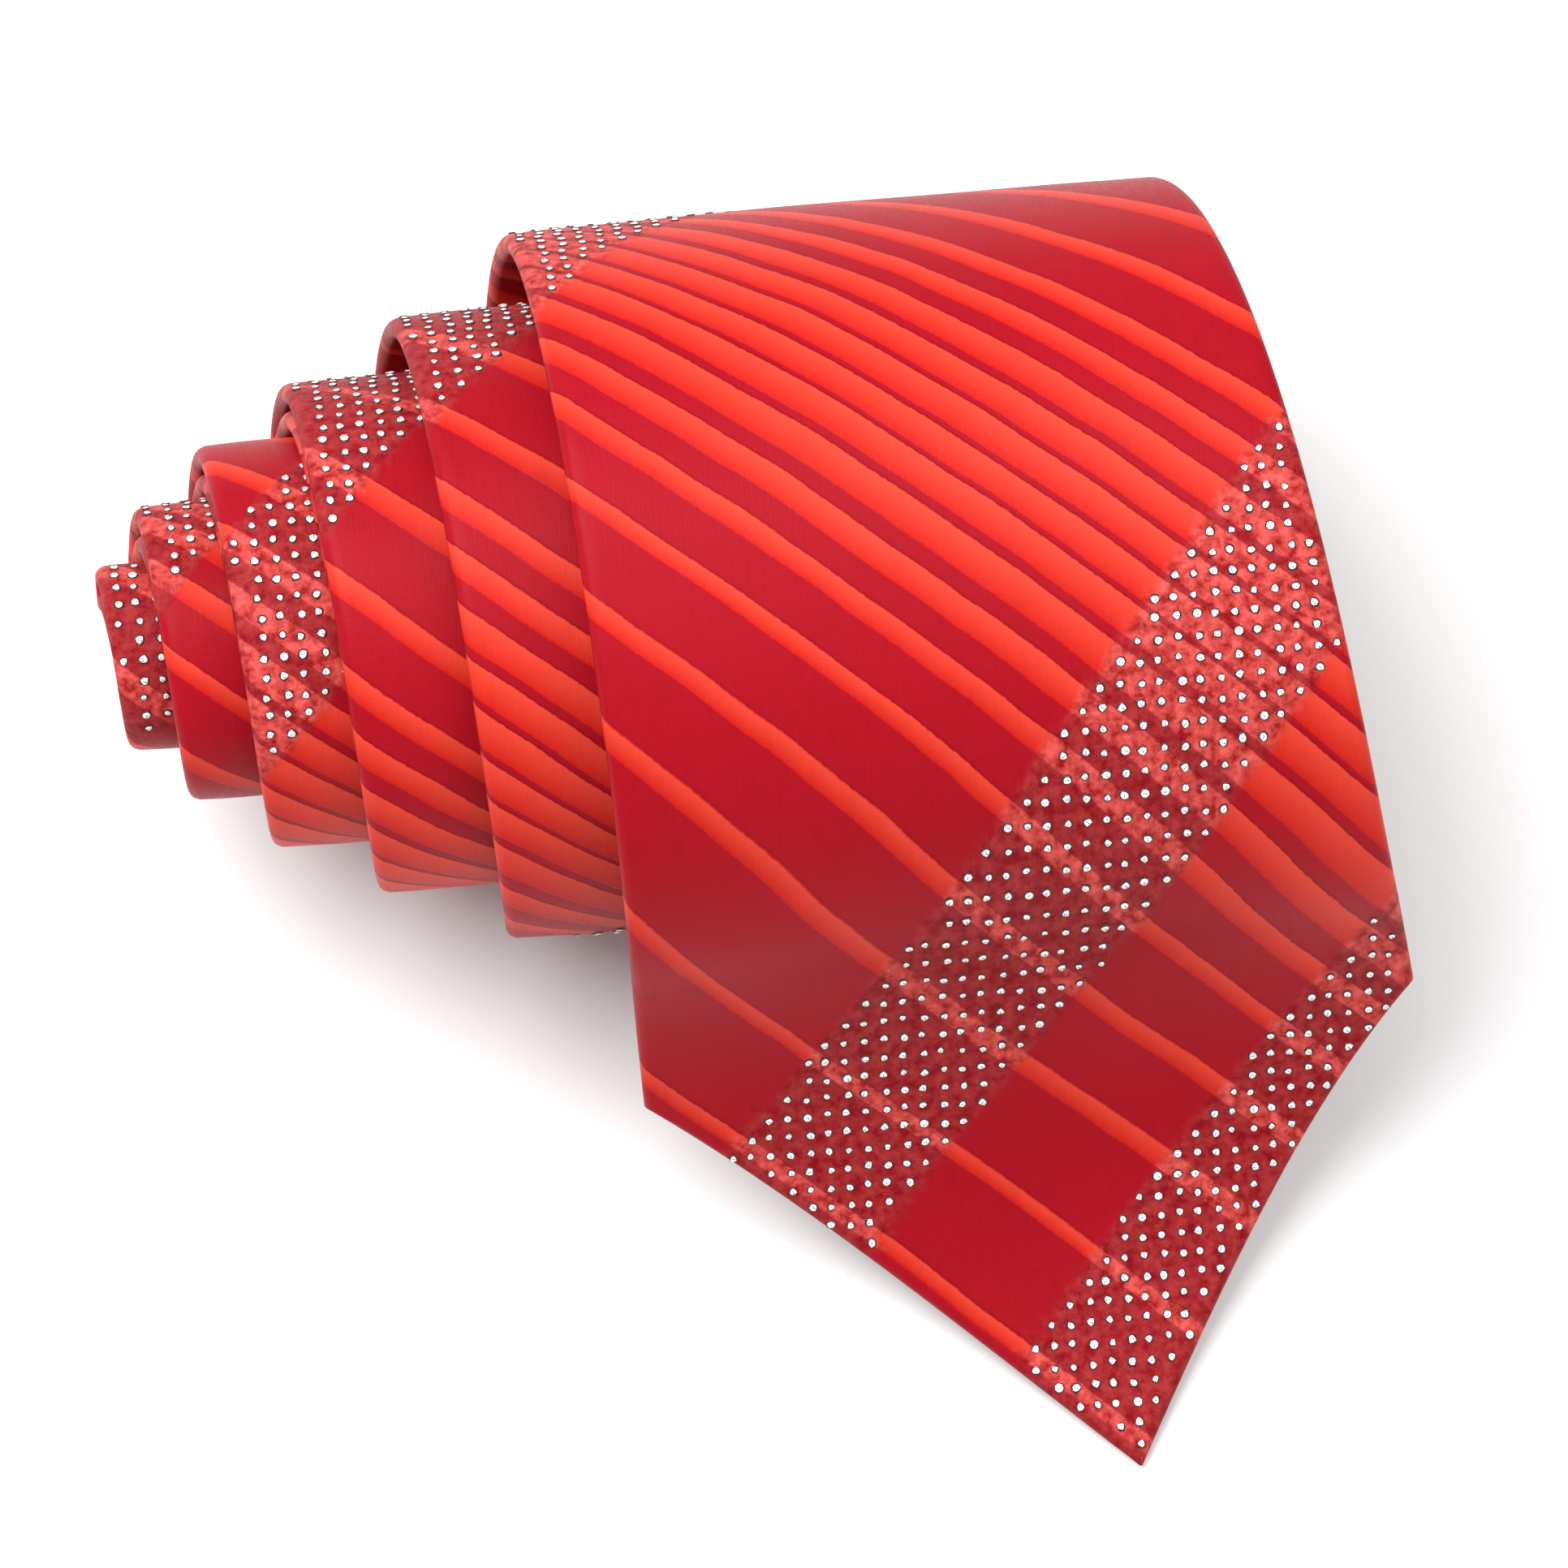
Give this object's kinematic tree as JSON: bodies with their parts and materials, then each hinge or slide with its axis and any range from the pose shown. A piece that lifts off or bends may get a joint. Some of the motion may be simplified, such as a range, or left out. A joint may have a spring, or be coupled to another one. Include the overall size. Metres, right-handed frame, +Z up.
{
  "type": "rolled necktie",
  "caption": "Silk necktie folded in two, rolled up from the fold and set down with its wide blade drooping in front; back has lined points, keeper band, blank labels.",
  "frame": {"origin": "on the floor, under the middle of the object's bounding box", "axes": "+X along the roll's axis towards its wide end, +Y away from the blade's point, +Z up"},
  "size_m": [0.1306, 0.1258, 0.0751],
  "materials": {
    "satin": "crimson jacquard satin with orange-red diagonal stripes, soft sheen",
    "interlining": "brushed undyed wool, matt",
    "tipping": "plain dark red lining, light sheen",
    "thread": "twisted sewing thread, red",
    "label": "blank woven label, near black",
    "silver_dots": "raised silvery woven dots"
  },
  "bodies": {
    "coil_1": {"blade_shell_coil_1": "satin", "interlining_coil_1": "interlining", "slip_stitch_coil_1": "thread", "tail_shell_coil_1": "satin", "tail_interlining_coil_1": "interlining", "tail_tipping": "tipping", "tail_bar_tack": "thread"},
    "front_loop": {"blade_shell_loop": "satin", "interlining_loop": "interlining", "blade_tipping_loop": "tipping", "slip_stitch_loop": "thread", "blade_bar_tack": "thread", "maker_label": "label", "maker_label_stitches": "thread", "keeper_band": "satin", "keeper_stitches": "thread", "care_label": "label", "care_label_stitches": "thread"},
    "blade_drop": {"blade_shell_drop": "satin", "interlining_drop": "interlining", "blade_tipping_drop": "tipping"},
    "coil_2": {"blade_shell_coil_2": "satin", "interlining_coil_2": "interlining", "slip_stitch_coil_2": "thread", "tail_shell_coil_2": "satin", "tail_interlining_coil_2": "interlining"},
    "coil_3": {"neck_shell_coil_3": "satin", "interlining_coil_3": "interlining", "slip_stitch_coil_3": "thread", "tail_shell_coil_3": "satin", "tail_interlining_coil_3": "interlining"},
    "coil_4": {"neck_shell_coil_4": "satin", "interlining_coil_4": "interlining", "slip_stitch_coil_4": "thread", "neck_back_shell_coil_4": "satin", "neck_back_interlining_coil_4": "interlining"},
    "core": {"neck_shell_core": "satin", "interlining_core": "interlining"}
  },
  "joints": [
    {"name": "loop_slide", "type": "slide", "parent": "coil_1", "child": "front_loop", "axis": [-1, 0, 0], "range_m": [-0.004, 0.012]},
    {"name": "blade_lift", "type": "hinge", "parent": "front_loop", "child": "blade_drop", "pos_m": [0, -0.01575, 0.0432], "axis": [-1, 0, 0], "range_deg": [0, 75]},
    {"name": "coil_2_slide", "type": "slide", "parent": "coil_1", "child": "coil_2", "axis": [1, 0, 0], "range_m": [-0.004, 0.01]},
    {"name": "coil_3_slide", "type": "slide", "parent": "coil_2", "child": "coil_3", "axis": [1, 0, 0], "range_m": [-0.0033, 0.0082]},
    {"name": "coil_4_slide", "type": "slide", "parent": "coil_3", "child": "coil_4", "axis": [1, 0, 0], "range_m": [-0.0025, 0.0062]},
    {"name": "core_slide", "type": "slide", "parent": "coil_4", "child": "core", "axis": [1, 0, 0], "range_m": [-0.0017, 0.0042]}
  ],
  "couplings": [
    {"joint": "coil_3_slide", "follows": "coil_2_slide", "ratio": 0.8},
    {"joint": "coil_4_slide", "follows": "coil_2_slide", "ratio": 0.6},
    {"joint": "core_slide", "follows": "coil_2_slide", "ratio": 0.4}
  ]
}
